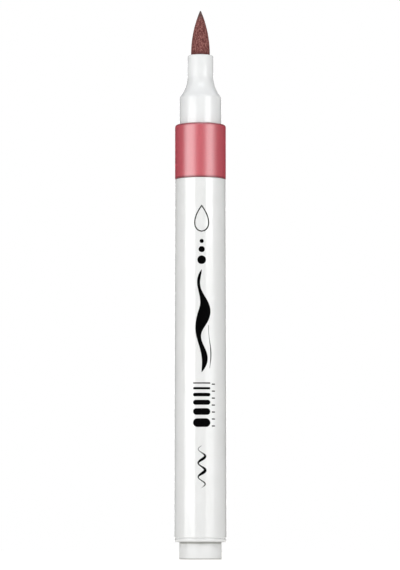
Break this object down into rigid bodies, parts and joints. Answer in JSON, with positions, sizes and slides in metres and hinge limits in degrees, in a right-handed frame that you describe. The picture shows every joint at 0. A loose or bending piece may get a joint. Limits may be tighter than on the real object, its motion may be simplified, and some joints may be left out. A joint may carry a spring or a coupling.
{
  "type": "brush marker",
  "caption": "Uncapped fibre-reservoir brush marker: slim white barrel, metallic colour band, stepped nose with a pointed brush nib, and a push-fit tail plug with a stub for the posted cap.",
  "frame": {"origin": "centre of the tail plug's flat end, on which the uncapped marker stands", "axes": "+Z along the pen's axis from the tail to the nib; the printed side faces -Y"},
  "size_m": [0.0126, 0.0126, 0.1354],
  "materials": {
    "white_plastic": "glossy white polypropylene",
    "natural_plastic": "slightly cool white polypropylene",
    "metallic_lacquer": "satin metallic rose-red lacquer",
    "nib_fibre": "bonded fibre, stained rose-brown",
    "reservoir_fibre": "bonded fibre soaked with ink",
    "clear_film": "thin plastic film"
  },
  "bodies": {
    "pen_body": {"barrel": "white_plastic", "colour_band": "metallic_lacquer", "front_section": "natural_plastic", "nib_holder": "natural_plastic", "ink_reservoir": "reservoir_fibre", "reservoir_film": "clear_film"},
    "nib": {"brush_nib": "nib_fibre"},
    "end_plug": {"tail_plug": "white_plastic"}
  },
  "joints": [
    {"name": "nib_pull", "type": "slide", "parent": "pen_body", "child": "nib", "axis": [0, 0, 1], "range_m": [0, 0.025]},
    {"name": "tail_plug_pull", "type": "slide", "parent": "pen_body", "child": "end_plug", "axis": [0, 0, -1], "range_m": [0, 0.008]}
  ]
}
